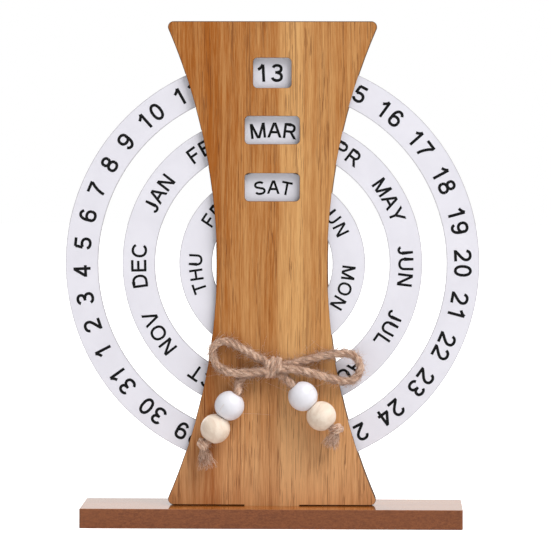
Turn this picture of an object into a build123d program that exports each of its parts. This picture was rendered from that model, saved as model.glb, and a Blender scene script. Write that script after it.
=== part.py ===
from build123d import *

import math
import os

# Perpetual desk calendar with three turning rings, in millimetres.
#
# An hourglass-shaped upright stands on a tab in a flat base. The upright is a
# sandwich: a front panel with three windows, a layer of curved spacers, and a back
# panel. Three loose rings (dates, months, weekdays) run in the channels that the
# spacers leave, so they turn about one axis that has no axle. A twine bow with four
# wooden beads is glued to the front panel.
#
# Frame: +X to the viewer's right, +Y to the back, +Z up. The origin is the middle of
# the base's underside. Outlines are drawn in X and Z about the rings' centre, and
# each board is then placed by the Y of its front face.

# Base board, with a blind slot for the upright's tab.
BASE_WIDTH = 193.5
BASE_DEPTH = 50.0
BASE_THICKNESS = 10.0
BASE_CORNER_RADIUS = 1.2
BASE_EDGE_ROUND = 0.4
SLOT_DEPTH = 7.0
SLOT_CLEARANCE = 0.2
TAB_WIDTH = 28.0
SHOULDER_GAP = 0.5

# Rings, from the outside in: dates, months, weekdays.
DATE_RING_RADIUS = 105.0
RING_WIDTH = 16.6
RING_GAP = 12.3
RING_THICKNESS = 2.4
RING_EDGE_ROUND = 0.15
RING_RADIAL_PLAY = 0.5
RING_SIDE_PLAY = 0.3

# Upright: three layers with the same hourglass outline.
WAIST_HALF_WIDTH = 28.0
SIDE_RADIUS = 302.0
END_MARGIN = 17.5
OUTLINE_CORNER_RADIUS = 2.6
FRONT_FACE_Y = -8.5
FRONT_THICKNESS = 3.0
FRONT_EDGE_BREAK = 0.2
BACK_THICKNESS = 3.0
BACKING_REVEAL = 0.3

# Windows in the front panel, each over the middle of its ring's band.
DATE_WINDOW_WIDTH = 19.4
DATE_WINDOW_HEIGHT = 15.2
WORD_WINDOW_WIDTH = 27.8
WORD_WINDOW_HEIGHT = 14.2
WINDOW_CORNER_RADIUS = 2.2

# Twine bow and its beads.
TWINE_DIAMETER = 4.0
TWINE_GAP = 0.3
BOW_X = 0.7
BOW_ABOVE_BASE = 70.9
KNOT_RADIUS = 4.7
KNOT_HEIGHT = 11.5
KNOT_ROUND = 3.6
GLUE_RADIUS = 3.4
GLUE_THICKNESS = 0.4
BEAD_DIAMETER = 15.0
BEAD_LENGTH = 13.5
BEAD_BORE_CLEARANCE = 0.4
BEAD_BORE_ROUND = 0.5
BORE_ROUND_SHARE = 0.6  # most of a bead's flat end that the rounding of its bore may take
BEAD_GAP = 0.15
BEAD_TO_PANEL = 0.25
END_KNOT_RADIUS = 3.4
END_KNOT_SHIFT = 1.2
FRAY_END_RADIUS = 3.2

# Places that follow from the sizes above.
MONTH_RING_RADIUS = DATE_RING_RADIUS - RING_WIDTH - RING_GAP
WEEKDAY_RING_RADIUS = MONTH_RING_RADIUS - RING_WIDTH - RING_GAP
UPRIGHT_HALF_HEIGHT = DATE_RING_RADIUS + END_MARGIN
RINGS_CENTRE_Z = BASE_THICKNESS + SHOULDER_GAP + UPRIGHT_HALF_HEIGHT
TAB_LENGTH = SLOT_DEPTH + SHOULDER_GAP
CHANNEL_DEPTH = RING_THICKNESS + 2 * RING_SIDE_PLAY
CHANNEL_FRONT_Y = FRONT_FACE_Y + FRONT_THICKNESS
BACK_FRONT_Y = CHANNEL_FRONT_Y + CHANNEL_DEPTH
UPRIGHT_THICKNESS = FRONT_THICKNESS + CHANNEL_DEPTH + BACK_THICKNESS
BOW_Z = BASE_THICKNESS + BOW_ABOVE_BASE
TWINE_RADIUS = TWINE_DIAMETER / 2

# How far the twine's centre stands in front of the panel: where it lies on the panel,
# and where it passes over another strand.
LYING = TWINE_RADIUS + TWINE_GAP
CROSSING = LYING + TWINE_DIAMETER + TWINE_GAP


# ---------------------------------------------------------------- outlines and boards


def board(outline, front_y, thickness):
    """A board cut to an outline drawn about the rings' centre, its front face at front_y."""
    face = Pos(0, front_y + thickness, RINGS_CENTRE_Z) * (Plane.XZ * outline)
    return extrude(face, amount=thickness)


def hourglass(reveal=0.0):
    """The upright's outline without its tab, grown by reveal on every side."""
    half_height = UPRIGHT_HALF_HEIGHT + reveal
    side_centre = WAIST_HALF_WIDTH + SIDE_RADIUS
    outline = Rectangle(2 * SIDE_RADIUS, 2 * half_height)
    for side in (-1, 1):
        outline -= Pos(side * side_centre, 0) * Circle(SIDE_RADIUS - reveal)
    corners = [v for v in outline.vertices() if abs(abs(v.Y) - half_height) < 1e-6]
    return fillet(corners, OUTLINE_CORNER_RADIUS + reveal)


def tab():
    """The tongue under the shoulders that plugs into the base."""
    overlap = OUTLINE_CORNER_RADIUS
    height = TAB_LENGTH + overlap
    return Pos(0, -UPRIGHT_HALF_HEIGHT - TAB_LENGTH + height / 2) * Rectangle(TAB_WIDTH, height)


def band(outer_radius):
    """The flat shape of one ring."""
    return Circle(outer_radius) - Circle(outer_radius - RING_WIDTH)


def window(width, height, ring_radius):
    """A window centred above the middle of a ring's band."""
    middle = ring_radius - RING_WIDTH / 2
    return Pos(0, middle) * RectangleRounded(width, height, WINDOW_CORNER_RADIUS)


# ---------------------------------------------------------------- base and upright


def base_board():
    block = Pos(0, 0, BASE_THICKNESS / 2) * Box(BASE_WIDTH, BASE_DEPTH, BASE_THICKNESS)
    block = fillet(block.edges().filter_by(Axis.Z), BASE_CORNER_RADIUS)
    flat_edges = block.faces().sort_by(Axis.Z)[-1].edges() + block.faces().sort_by(Axis.Z)[0].edges()
    block = fillet(flat_edges, BASE_EDGE_ROUND)
    slot = Box(
        TAB_WIDTH + 2 * SLOT_CLEARANCE,
        UPRIGHT_THICKNESS + 2 * SLOT_CLEARANCE,
        2 * SLOT_DEPTH,
    )
    slot_y = FRONT_FACE_Y + UPRIGHT_THICKNESS / 2
    return block - Pos(0, slot_y, BASE_THICKNESS) * slot


def front_panel():
    outline = hourglass() + tab()
    outline -= window(DATE_WINDOW_WIDTH, DATE_WINDOW_HEIGHT, DATE_RING_RADIUS)
    outline -= window(WORD_WINDOW_WIDTH, WORD_WINDOW_HEIGHT, MONTH_RING_RADIUS)
    outline -= window(WORD_WINDOW_WIDTH, WORD_WINDOW_HEIGHT, WEEKDAY_RING_RADIUS)
    panel = board(outline, FRONT_FACE_Y, FRONT_THICKNESS)
    front = panel.faces().sort_by(Axis.Y)[0]
    return chamfer(front.edges(), FRONT_EDGE_BREAK)


def back_panel():
    return board(hourglass(BACKING_REVEAL) + tab(), BACK_FRONT_Y, BACK_THICKNESS)


def spacers():
    """The middle layer: everything inside the outline that no ring's channel takes."""
    outline = hourglass(BACKING_REVEAL)
    channels = {}
    for name, radius in RINGS.items():
        outer = radius + RING_RADIAL_PLAY
        inner = radius - RING_WIDTH - RING_RADIAL_PLAY
        channels[name] = (outer, inner)
    date_outer, date_inner = channels["date_ring"]
    month_outer, month_inner = channels["month_ring"]
    weekday_outer, weekday_inner = channels["weekday_ring"]
    rim = (outline - Circle(date_outer)).faces().sort_by(Axis.Y)
    outer_arcs = (outline & (Circle(date_inner) - Circle(month_outer))).faces().sort_by(Axis.Y)
    inner_arcs = (outline & (Circle(month_inner) - Circle(weekday_outer))).faces().sort_by(Axis.Y)
    flat = {
        "foot_spacer": rim[0] + tab(),
        "head_spacer": rim[-1],
        "outer_lower_arc_spacer": outer_arcs[0],
        "outer_upper_arc_spacer": outer_arcs[-1],
        "inner_lower_arc_spacer": inner_arcs[0],
        "inner_upper_arc_spacer": inner_arcs[-1],
        "hub_spacer": outline & Circle(weekday_inner),
    }
    return {name: board(shape, CHANNEL_FRONT_Y, CHANNEL_DEPTH) for name, shape in flat.items()}


# ---------------------------------------------------------------- rings

RINGS = {
    "date_ring": DATE_RING_RADIUS,
    "month_ring": MONTH_RING_RADIUS,
    "weekday_ring": WEEKDAY_RING_RADIUS,
}


def ring(radius):
    flat = board(band(radius), CHANNEL_FRONT_Y + RING_SIDE_PLAY, RING_THICKNESS)
    return fillet(flat.edges().filter_by(GeomType.CIRCLE), RING_EDGE_ROUND)


# ---------------------------------------------------------------- twine bow


def at_bow(dx, out, dz):
    """A point given from the bow's middle: dx right, out in front of the panel, dz up."""
    return Vector(BOW_X + dx, FRONT_FACE_Y - out, BOW_Z + dz)


KNOT_OUT = GLUE_THICKNESS + KNOT_RADIUS

# The routes' points: right, out from the panel, and up, from the bow's middle.
LEFT_LOOP = [
    (-2.4, 4.8, 2.6),
    (-8.0, 4.6, 5.8),
    (-16.0, LYING + 0.5, 10.9),
    (-24.8, LYING, 15.5),
    (-31.6, LYING + 0.3, 11.4),
    (-31.1, LYING + 0.4, 2.4),
    (-25.2, LYING + 2.1, -3.2),
    (-16.4, CROSSING + 0.5, -3.5),
    (-8.6, CROSSING + 0.9, -2.5),
    (-2.4, 7.5, -1.2),
]
RIGHT_LOOP = [
    (2.4, 2.8, 0.8),
    (8.0, LYING + 0.2, 1.2),
    (16.0, LYING, 3.4),
    (25.0, LYING + 0.2, 5.9),
    (33.8, LYING + 0.8, 7.2),
    (41.2, LYING + 1.6, 7.0),
    (45.2, LYING + 2.2, 0.0),
    (41.0, LYING + 2.0, -7.0),
    (33.0, LYING + 1.6, -6.7),
    (24.5, LYING + 2.0, -4.1),
    (16.0, LYING + 3.2, -1.7),
    (8.6, CROSSING + 0.4, -0.3),
    (2.4, 7.4, -0.6),
]


class Tail:
    """One end of the twine: out of the bow, through two beads and into its end knot."""

    def __init__(self, approach, bead_entry, heading_deg, side, fray_heading_deg, fray_length):
        heading = math.radians(heading_deg)
        self.along = Vector(math.cos(heading), 0, math.sin(heading))
        across = Vector(0, side, 0).cross(self.along)
        entry = at_bow(bead_entry[0], BEAD_DIAMETER / 2 + BEAD_TO_PANEL, bead_entry[1])
        self.entry = entry
        knot_offset = 2 * BEAD_LENGTH + BEAD_GAP + END_KNOT_RADIUS + BEAD_GAP
        end = entry + self.along * knot_offset
        self.knot = end + across * END_KNOT_SHIFT
        self.points = [*[at_bow(*p) for p in approach], entry - self.along * TWINE_RADIUS, end]
        fray = math.radians(fray_heading_deg)
        self.fray_along = Vector(math.cos(fray), 0, math.sin(fray))
        self.fray_length = fray_length

    def bead_centre(self, number):
        return self.entry + self.along * (BEAD_LENGTH * (number + 0.5) + BEAD_GAP * number)


LEFT_TAIL = Tail(
    approach=[(-2.0, 2.7, -2.4), (-8.0, LYING, -2.9), (-14.0, LYING, -4.0), (-17.9, 4.2, -7.6)],
    bead_entry=(-18.4, -13.5),
    heading_deg=-121.5,
    side=1,
    fray_heading_deg=-81.0,
    fray_length=13.5,
)
RIGHT_TAIL = Tail(
    approach=[(1.4, 4.0, -2.0), (5.4, 4.6, -4.4)],
    bead_entry=(10.6, -9.4),
    heading_deg=-47.0,
    side=-1,
    fray_heading_deg=-111.0,
    fray_length=11.0,
)


def bend_radii(points):
    """The radius of each corner of a route: 0.45 of its shorter run, over tan(half the turn)."""
    radii = []
    for before, corner, after in zip(points, points[1:], points[2:]):
        arriving, leaving = corner - before, after - corner
        half_turn = math.radians(arriving.get_angle(leaving) / 2)
        radii.append(0.45 * min(arriving.length, leaving.length) / math.tan(half_turn))
    return radii


def twine(points, name):
    """A plain round tube along straight runs joined by tangent arcs."""
    radii = bend_radii(points)
    path = FilletPolyline(*points, radius=radii)
    start = Plane(origin=path @ 0, z_dir=path % 0)
    tube = sweep(start * Circle(TWINE_RADIUS), path=path)
    share = tube.volume / (math.pi * TWINE_RADIUS**2 * path.length)
    print(f"{name}: {path.length:.1f} mm long, volume over section times length {share:.4f}")
    print("  bend radii", [round(r, 1) for r in radii])
    return tube


def bow_knot():
    """The lump in the middle of the bow, an upright rounded cylinder."""
    body = Cylinder(KNOT_RADIUS, KNOT_HEIGHT)
    body = fillet(body.edges().filter_by(GeomType.CIRCLE), KNOT_ROUND)
    return Location(at_bow(0, KNOT_OUT, 0)) * body


def glue_dab():
    """The spot of glue that holds the bow to the panel."""
    disc = Rot(90, 0, 0) * Cylinder(GLUE_RADIUS, GLUE_THICKNESS)
    return Location(at_bow(0, GLUE_THICKNESS / 2, 0)) * disc


def bead(tail, number):
    """A turned wooden ball with flat ends and a hole for the twine."""
    ball = Sphere(BEAD_DIAMETER / 2) & Cylinder(BEAD_DIAMETER, BEAD_LENGTH)
    bore_radius = TWINE_RADIUS + BEAD_BORE_CLEARANCE
    flat_radius = math.sqrt(BEAD_DIAMETER**2 - BEAD_LENGTH**2) / 2
    rim_round = min(BEAD_BORE_ROUND, BORE_ROUND_SHARE * (flat_radius - bore_radius))
    ball -= Cylinder(bore_radius, 2 * BEAD_LENGTH)
    rims = [
        e
        for e in ball.edges().filter_by(GeomType.CIRCLE)
        if abs(e.radius - bore_radius) < 1e-6
    ]
    ball = fillet(rims, rim_round)
    return Plane(origin=tail.bead_centre(number), z_dir=tail.along).location * ball


def end_knot(tail):
    """The stopper knot past the beads, with the frayed end of the twine."""
    lump = Location(tail.knot) * Sphere(END_KNOT_RADIUS)
    brush = Pos(0, 0, tail.fray_length / 2) * Cone(TWINE_RADIUS, FRAY_END_RADIUS, tail.fray_length)
    return lump + Plane(origin=tail.knot, z_dir=tail.fray_along).location * brush


def bow():
    knot = bow_knot()
    left_end, right_end = end_knot(LEFT_TAIL), end_knot(RIGHT_TAIL)
    return {
        "bow_knot": knot,
        "bow_glue_dab": glue_dab(),
        "bow_loop_left": twine([at_bow(*p) for p in LEFT_LOOP], "bow_loop_left") - knot,
        "bow_loop_right": twine([at_bow(*p) for p in RIGHT_LOOP], "bow_loop_right") - knot,
        "twine_tail_left": twine(LEFT_TAIL.points, "twine_tail_left") - knot - left_end,
        "twine_tail_right": twine(RIGHT_TAIL.points, "twine_tail_right") - knot - right_end,
        "white_bead_left": bead(LEFT_TAIL, 0),
        "plain_bead_left": bead(LEFT_TAIL, 1),
        "white_bead_right": bead(RIGHT_TAIL, 0),
        "plain_bead_right": bead(RIGHT_TAIL, 1),
        "end_knot_left": left_end,
        "end_knot_right": right_end,
    }


# ---------------------------------------------------------------- all the parts


def all_parts():
    parts = {
        "base_board": base_board(),
        "front_panel": front_panel(),
        "back_panel": back_panel(),
    }
    parts.update(spacers())
    parts.update({name: ring(radius) for name, radius in RINGS.items()})
    parts.update(bow())
    return parts


os.makedirs("parts", exist_ok=True)
for part_name, solid in all_parts().items():
    export_step(solid, f"parts/{part_name}.step")
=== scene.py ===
# %% [markdown]
# # A desk calendar with three turning rings
#
# A thin wooden upright stands in a flat base. Three off-white rings with printed dates,
# months and weekdays turn behind its windows, and a bow of jute twine with four wooden
# beads hangs low on its front. The boards and rings come ready made, at their real size,
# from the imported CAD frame. This lesson gives them their finishes, and models what CAD
# keeps plain: the twine, its knots and frayed ends, the beads and the printing.

# %% Load the frame
import math

import bpy
import numpy as np
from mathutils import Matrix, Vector
from mathutils.geometry import delaunay_2d_cdt


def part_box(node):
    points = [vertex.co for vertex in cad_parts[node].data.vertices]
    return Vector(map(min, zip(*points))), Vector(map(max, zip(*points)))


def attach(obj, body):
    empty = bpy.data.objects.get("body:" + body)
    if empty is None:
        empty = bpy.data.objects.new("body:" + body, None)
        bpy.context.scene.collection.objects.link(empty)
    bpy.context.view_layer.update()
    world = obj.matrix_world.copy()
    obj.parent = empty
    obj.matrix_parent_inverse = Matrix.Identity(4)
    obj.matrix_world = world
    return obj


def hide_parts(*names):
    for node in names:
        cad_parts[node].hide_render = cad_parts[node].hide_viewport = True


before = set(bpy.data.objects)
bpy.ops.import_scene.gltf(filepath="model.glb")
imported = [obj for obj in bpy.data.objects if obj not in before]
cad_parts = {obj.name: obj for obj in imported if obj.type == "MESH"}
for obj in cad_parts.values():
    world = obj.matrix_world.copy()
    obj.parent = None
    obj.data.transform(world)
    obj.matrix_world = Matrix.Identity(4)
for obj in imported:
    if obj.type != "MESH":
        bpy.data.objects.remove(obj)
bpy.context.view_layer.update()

MM = 0.001
UPRIGHT = "upright"


def show(name, data):
    """An object with this mesh, camera or light, in the scene."""
    made = bpy.data.objects.new(name, data)
    bpy.context.scene.collection.objects.link(made)
    return made


# %% [markdown]
# ## Camera
#
# The object is looked at from far away, almost straight on and a little from above, so
# that the rings stay round. A long lens does this: the further the camera, the flatter
# the picture. The camera is turned by given angles and not aimed at a target, so that
# it stays almost level while the object stands a little off the middle of the picture.

# %% Camera
CAMERA_PLACE = (0.0563, -1.905, 0.225)
CAMERA_TURN_DEG = (87.05, -0.07, 1.65)
CAMERA_LENS_MM = 245.07

camera_data = bpy.data.cameras.new("camera")
camera_data.lens = CAMERA_LENS_MM
camera_data.sensor_width = 36
camera = show("camera", camera_data)
camera.location = CAMERA_PLACE
camera.rotation_euler = [math.radians(a) for a in CAMERA_TURN_DEG]
bpy.context.scene.camera = camera
print(f"camera {-CAMERA_PLACE[1]:.2f} m in front, with a {CAMERA_LENS_MM:.0f} mm lens")

# %% [markdown]
# ## Node trees by name
#
# Every finish below is a small network of shader nodes. Writing them out one link at a
# time hides what they do, so these helpers let a material read like a formula: each call
# makes one node, and whatever is passed in is linked or set. Sockets are found by name
# among the enabled ones, because a node such as Mix keeps one set of sockets per type.


# %% Node helpers
def socket(node, name, side="inputs"):
    """The enabled socket of that name, or by its place when name is a number."""
    sockets = getattr(node, side)
    if isinstance(name, int):
        return sockets[name]
    return next(s for s in sockets if s.name == name and s.enabled)


def first_output(node):
    """The output that a node shows first, such as a mix's result."""
    return next(s for s in node.outputs if s.enabled)


def put(tree, value, target):
    """Links a node or a socket to the target socket, or sets the target to a value."""
    if isinstance(value, bpy.types.Node):
        value = first_output(value)
    if isinstance(value, bpy.types.NodeSocket):
        tree.links.new(value, target)
    elif target.type == "RGBA" and len(value) == 3:
        target.default_value = (*value, 1)
    else:
        target.default_value = value


def add(tree, kind, inputs=None, **settings):
    """One node of a kind. Settings are its properties, inputs its sockets' values or links."""
    node = tree.nodes.new(kind)
    for key, value in settings.items():
        setattr(node, key, value)
    for key, value in (inputs or {}).items():
        put(tree, value, socket(node, key))
    return node


def maths(tree, operation, *values, clamp=False):
    """One step of arithmetic on numbers or sockets."""
    inputs = dict(enumerate(values))
    return add(tree, "ShaderNodeMath", inputs, operation=operation, use_clamp=clamp)


def vector_maths(tree, operation, *values):
    """One step of arithmetic on vectors."""
    return add(tree, "ShaderNodeVectorMath", dict(enumerate(values)), operation=operation)


def axis_part(tree, vector, axis):
    """One of a vector's X, Y and Z."""
    return socket(add(tree, "ShaderNodeSeparateXYZ", {0: vector}), axis, "outputs")


def mix(tree, factor, a, b):
    """Two colours mixed by a factor."""
    return add(tree, "ShaderNodeMix", {"Factor": factor, "A": a, "B": b}, data_type="RGBA")


def ramp(tree, value, low, high, to_low=0.0, to_high=1.0):
    """A number from low to high spread smoothly over to_low to to_high."""
    inputs = {"Value": value, "From Min": low, "From Max": high}
    inputs |= {"To Min": to_low, "To Max": to_high}
    return add(tree, "ShaderNodeMapRange", inputs, interpolation_type="SMOOTHSTEP")


def moved(tree, vector, scale=(1, 1, 1), location=(0, 0, 0), rotation=(0, 0, 0)):
    """The same place in a space that is stretched, moved or turned."""
    inputs = {"Vector": vector, "Scale": scale, "Location": location, "Rotation": rotation}
    return add(tree, "ShaderNodeMapping", inputs)


def noise(tree, vector, scale, detail=2.0, roughness=0.5):
    """Smooth noise with about scale blotches a metre. Three scales, one for each axis,
    stretch it: the smallest is the direction the blotches run in."""
    if isinstance(scale, tuple):
        vector, scale = moved(tree, vector, scale), 1.0
    inputs = {"Vector": vector, "Scale": scale, "Detail": detail, "Roughness": roughness}
    return add(tree, "ShaderNodeTexNoise", inputs)


def coordinates(tree, output="Object"):
    """A point's place in metres, or with "Normal" the way its surface faces."""
    return socket(add(tree, "ShaderNodeTexCoord"), output, "outputs")


def normal_part(tree, axis):
    """How far the surface faces along one axis, from -1 to 1."""
    return axis_part(tree, coordinates(tree, "Normal"), axis)


def bump(tree, height, distance, strength=1.0):
    inputs = {"Height": height, "Distance": distance, "Strength": strength}
    return add(tree, "ShaderNodeBump", inputs)


def material(name):
    """A new material, its node tree and its Principled shader."""
    made = bpy.data.materials.new(name)
    made.use_nodes = True
    tree = made.node_tree
    shader = next(n for n in tree.nodes if n.type == "BSDF_PRINCIPLED")
    return made, tree, shader


def feed(tree, node, **inputs):
    """Sets or links a node's sockets, named with _ for a space."""
    for key, value in inputs.items():
        put(tree, value, node.inputs[key.replace("_", " ")])


def new_group(name, inputs, outputs):
    """An empty node group with its sockets, and its two ends."""
    group = bpy.data.node_groups.new(name, "ShaderNodeTree")
    for key, (kind, value) in inputs.items():
        made = group.interface.new_socket(key, in_out="INPUT", socket_type=kind)
        if value is not None:
            made.default_value = value
    for key, kind in outputs.items():
        group.interface.new_socket(key, in_out="OUTPUT", socket_type=kind)
    return group, group.nodes.new("NodeGroupInput"), group.nodes.new("NodeGroupOutput")


def use_group(tree, group, **inputs):
    """A group placed in a tree, with its inputs named with _ for a space."""
    node = tree.nodes.new("ShaderNodeGroup")
    node.node_tree = group
    feed(tree, node, **inputs)
    return node


def close_group(group, leave, **outputs):
    """Links what a group works out to its outputs."""
    feed(group, leave, **outputs)
    print(f"{group.name} group has {len(group.nodes)} nodes")
    return group


print("node helpers:", ", ".join(f.__name__ for f in (add, maths, mix, ramp, noise, bump)))

# %% [markdown]
# ## Straight-grained veneer
#
# The boards wear a thin reddish-gold veneer whose grain runs straight up. Seen close, it
# has four layers: wide soft bands where the tree's rings were cut, narrower streaks, fine
# lines of fibre, and short dark pores. Each layer is a noise pattern stretched along the
# grain, because a fibre is hundreds of times longer than it is wide. They sit in one node
# group, since the upright's two faces and the base all wear the same wood.


# %% Veneer grain group
FLOAT, COLOUR, VECTOR = "NodeSocketFloat", "NodeSocketColor", "NodeSocketVector"
PALE_WOOD = (0.71, 0.385, 0.145)
WARM_WOOD = (0.355, 0.103, 0.010)
PORE = (0.13, 0.036, 0.008)
SWAY = 3.5 * MM


def veneer_group():
    """Grain running along the vector's Z. Gives a colour, a roughness and a height."""
    group, enter, leave = new_group(
        "veneer grain",
        {
            "Vector": (VECTOR, None),
            "Pale": (COLOUR, (*PALE_WOOD, 1)),
            "Warm": (COLOUR, (*WARM_WOOD, 1)),
            "Lightness": (FLOAT, 0.5),
        },
        {"Color": COLOUR, "Roughness": FLOAT, "Height": FLOAT},
    )
    place = enter.outputs["Vector"]
    sway = noise(group, place, (25, 25, 9), detail=1.0)
    offset = vector_maths(group, "MULTIPLY", socket(sway, "Color", "outputs"), (SWAY, 0, 0))
    bent = vector_maths(group, "ADD", place, offset)
    bands = noise(group, bent, (70, 70, 1.6))
    streaks = noise(group, bent, (430, 430, 8), detail=3.0, roughness=0.6)
    fibres = noise(group, bent, (2300, 2300, 75), detail=3.0, roughness=0.65)
    pores = noise(group, bent, (3000, 3000, 85), detail=1.0)
    threads = noise(group, bent, (2300, 2300, 10), detail=1.0)
    groves = noise(group, bent, (260, 260, 13), detail=1.0)

    wide = ramp(group, bands, 0.36, 0.66, -0.12, 0.12)
    middle = ramp(group, streaks, 0.30, 0.70, -0.13, 0.13)
    narrow = ramp(group, fibres, 0.30, 0.70, -0.20, 0.20)
    tone = maths(group, "ADD", enter.outputs["Lightness"], wide)
    tone = maths(group, "ADD", tone, middle)
    tone = maths(group, "ADD", tone, narrow, clamp=True)
    wood = mix(group, tone, enter.outputs["Warm"], enter.outputs["Pale"])

    dash = ramp(group, pores, 0.58, 0.64, 0.0, 0.70)
    where = ramp(group, groves, 0.38, 0.60, 0.12, 0.85)
    pore_mask = maths(group, "MULTIPLY", dash, where)
    line = maths(group, "MULTIPLY", ramp(group, threads, 0.62, 0.68, 0.0, 0.62), where)
    dark = maths(group, "MAXIMUM", pore_mask, line)
    shown = mix(group, dark, wood, PORE)

    rough = ramp(group, fibres, 0.3, 0.7, 0.40, 0.52)
    low = maths(group, "MULTIPLY", pore_mask, -0.8)
    height = maths(group, "MULTIPLY_ADD", fibres, 0.25, low)
    return close_group(group, leave, Color=shown, Roughness=rough, Height=height)


VENEER = veneer_group()

# %% [markdown]
# ## Burnt cut edges
#
# The boards are cut by laser, which leaves every cut edge dark brown, with faint ripples
# through the board's thickness, the way the beam went. Only the cut edges show this, and
# they are the faces that don't look forwards or backwards, so the surface normal's Y alone
# tells them apart. One group lays the burnt colour on them, for every board.


# %% Burnt edge group
BURNT_DARK = (0.030, 0.014, 0.008)
BURNT_RIPPLE = (0.10, 0.045, 0.02)


def burnt_edge_group():
    """Lays a burnt colour on the cut edges, whose normal lies in the board's own plane."""
    colour = {"Color": (COLOUR, (0.5, 0.3, 0.1, 1))}
    group, enter, leave = new_group("burnt edge", colour, {"Color": COLOUR})
    facing = maths(group, "ABSOLUTE", normal_part(group, "Y"))
    mask = ramp(group, facing, 0.60, 0.80, 1.0, 0.0)
    ripple = ramp(group, noise(group, coordinates(group), (2600, 60, 2600)), 0.35, 0.75, 0.0, 0.55)
    lighter = mix(group, ripple, BURNT_DARK, BURNT_RIPPLE)
    shown = mix(group, mask, enter.outputs["Color"], lighter)
    return close_group(group, leave, Color=shown)


BURNT = burnt_edge_group()

# %% [markdown]
# ## The boards' finishes
#
# The front panel's veneer is darker and redder on its left and paler on its right, as one
# leaf cut across a tree's rings is. The back panel wears another leaf of the same wood. The
# spacers are seen only edge on, so they are burnt all over. The base is stained fibre board
# under a glossy varnished veneer: its top mirrors the room at a low angle, which is why
# its roughness is low and its sides are dull.


# %% Board finishes
AXIS_Z = 133.0 * MM
RING_HALF_WIDTH = 8.3 * MM
MIDDLES = {"date_ring": 96.7 * MM, "month_ring": 67.8 * MM, "weekday_ring": 38.9 * MM}
BAND_SWAY = 8 * MM
PALE_FOOT = (0.745, 0.405, 0.18)
WARM_FOOT = (0.385, 0.130, 0.034)


def panel_finish(name, offset, leaf):
    """Veneer whose wide bands are given as (place across in mm, lightness) stops.
    It is lighter near the foot, and its two colours are paler there. The offset moves the
    grain, so that two boards don't show the same."""
    made, tree, shader = material(name)
    place = coordinates(tree)
    sway = noise(tree, place, (12, 12, 9))
    across = maths(tree, "ADD", axis_part(tree, place, "X"), -BAND_SWAY / 2)
    swayed = maths(tree, "MULTIPLY_ADD", sway, BAND_SWAY, across)
    left, right = leaf[0][0], leaf[-1][0]
    ends = {"Value": swayed, "From Min": left * MM, "From Max": right * MM}
    light = add(tree, "ShaderNodeValToRGB", {0: add(tree, "ShaderNodeMapRange", ends)})
    stops = light.color_ramp.elements
    for x, _ in leaf[1:-1]:
        stops.new((x - left) / (right - left))
    for stop, (_, lightness) in zip(stops, leaf):
        stop.color = (lightness, lightness, lightness, 1)
    up = axis_part(tree, place, "Z")
    light = maths(tree, "ADD", light, ramp(tree, up, 0.03, 0.125, 0.17, -0.06))
    foot = ramp(tree, up, 0.02, 0.11, 1.0, 0.0)
    pale = mix(tree, foot, PALE_WOOD, PALE_FOOT)
    warm = mix(tree, foot, WARM_WOOD, WARM_FOOT)
    grain = use_group(tree, VENEER, Vector=moved(tree, place, location=offset),
                      Lightness=light, Pale=pale, Warm=warm)
    edge = use_group(tree, BURNT, Color=grain.outputs["Color"])
    feed(tree, shader, Base_Color=edge.outputs["Color"], Roughness=grain.outputs["Roughness"],
         Specular_IOR_Level=0.2, Normal=bump(tree, grain.outputs["Height"], 0.0002, 0.5))
    return made


def spacer_finish():
    made, tree, shader = material("burnt spacer board")
    edge = use_group(tree, BURNT, Color=(0.20, 0.10, 0.05))
    feed(tree, shader, Base_Color=edge.outputs["Color"], Roughness=0.75, Specular_IOR_Level=0.2)
    return made


def base_finish():
    """Stained fibre board, with glossy veneer where the surface faces up."""
    made, tree, shader = material("base board")
    place = coordinates(tree)
    top = ramp(tree, normal_part(tree, "Z"), 0.75, 0.95)
    coarse = noise(tree, place, (500, 900, 1300), detail=3.0, roughness=0.65)
    fine = noise(tree, place, (1500, 1500, 3200), roughness=0.7)
    cloud = noise(tree, place, (40, 40, 60))
    speck = maths(tree, "MULTIPLY_ADD", fine, 0.5, maths(tree, "MULTIPLY", coarse, 0.5))
    fibre = mix(tree, ramp(tree, speck, 0.34, 0.64), (0.135, 0.034, 0.0075), (0.255, 0.078, 0.021))
    fibre = mix(tree, ramp(tree, cloud, 0.3, 0.7, 0.0, 0.25), fibre, (0.225, 0.068, 0.017))
    along = moved(tree, place, location=(0.3, 0.2, 0.1), rotation=(0, math.pi / 2, 0))
    grain = use_group(tree, VENEER, Vector=along, Lightness=0.12)
    colour = mix(tree, top, fibre, grain.outputs["Color"])
    rough = ramp(tree, top, 0.0, 1.0, 0.62, 0.11)
    height = mix(tree, top, speck, (0.5, 0.5, 0.5))
    feed(tree, shader, Base_Color=colour, Roughness=rough, Specular_IOR_Level=0.5,
         Normal=bump(tree, height, 0.00015, 0.35))
    return made


def rim_distance(tree, place):
    """How far a point of a ring's face is from the nearer rim: half the ring's width less
    the smallest distance to any ring's middle circle."""
    centred = vector_maths(tree, "ADD", place, (0, 0, -AXIS_Z))
    flat = vector_maths(tree, "MULTIPLY", centred, (1, 0, 1))
    radius = socket(vector_maths(tree, "LENGTH", flat), "Value", "outputs")
    dates, months, weekdays = (
        maths(tree, "ABSOLUTE", maths(tree, "SUBTRACT", radius, middle))
        for middle in MIDDLES.values()
    )
    nearest = maths(tree, "MINIMUM", maths(tree, "MINIMUM", dates, months), weekdays)
    return maths(tree, "SUBTRACT", RING_HALF_WIDTH, nearest)


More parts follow.
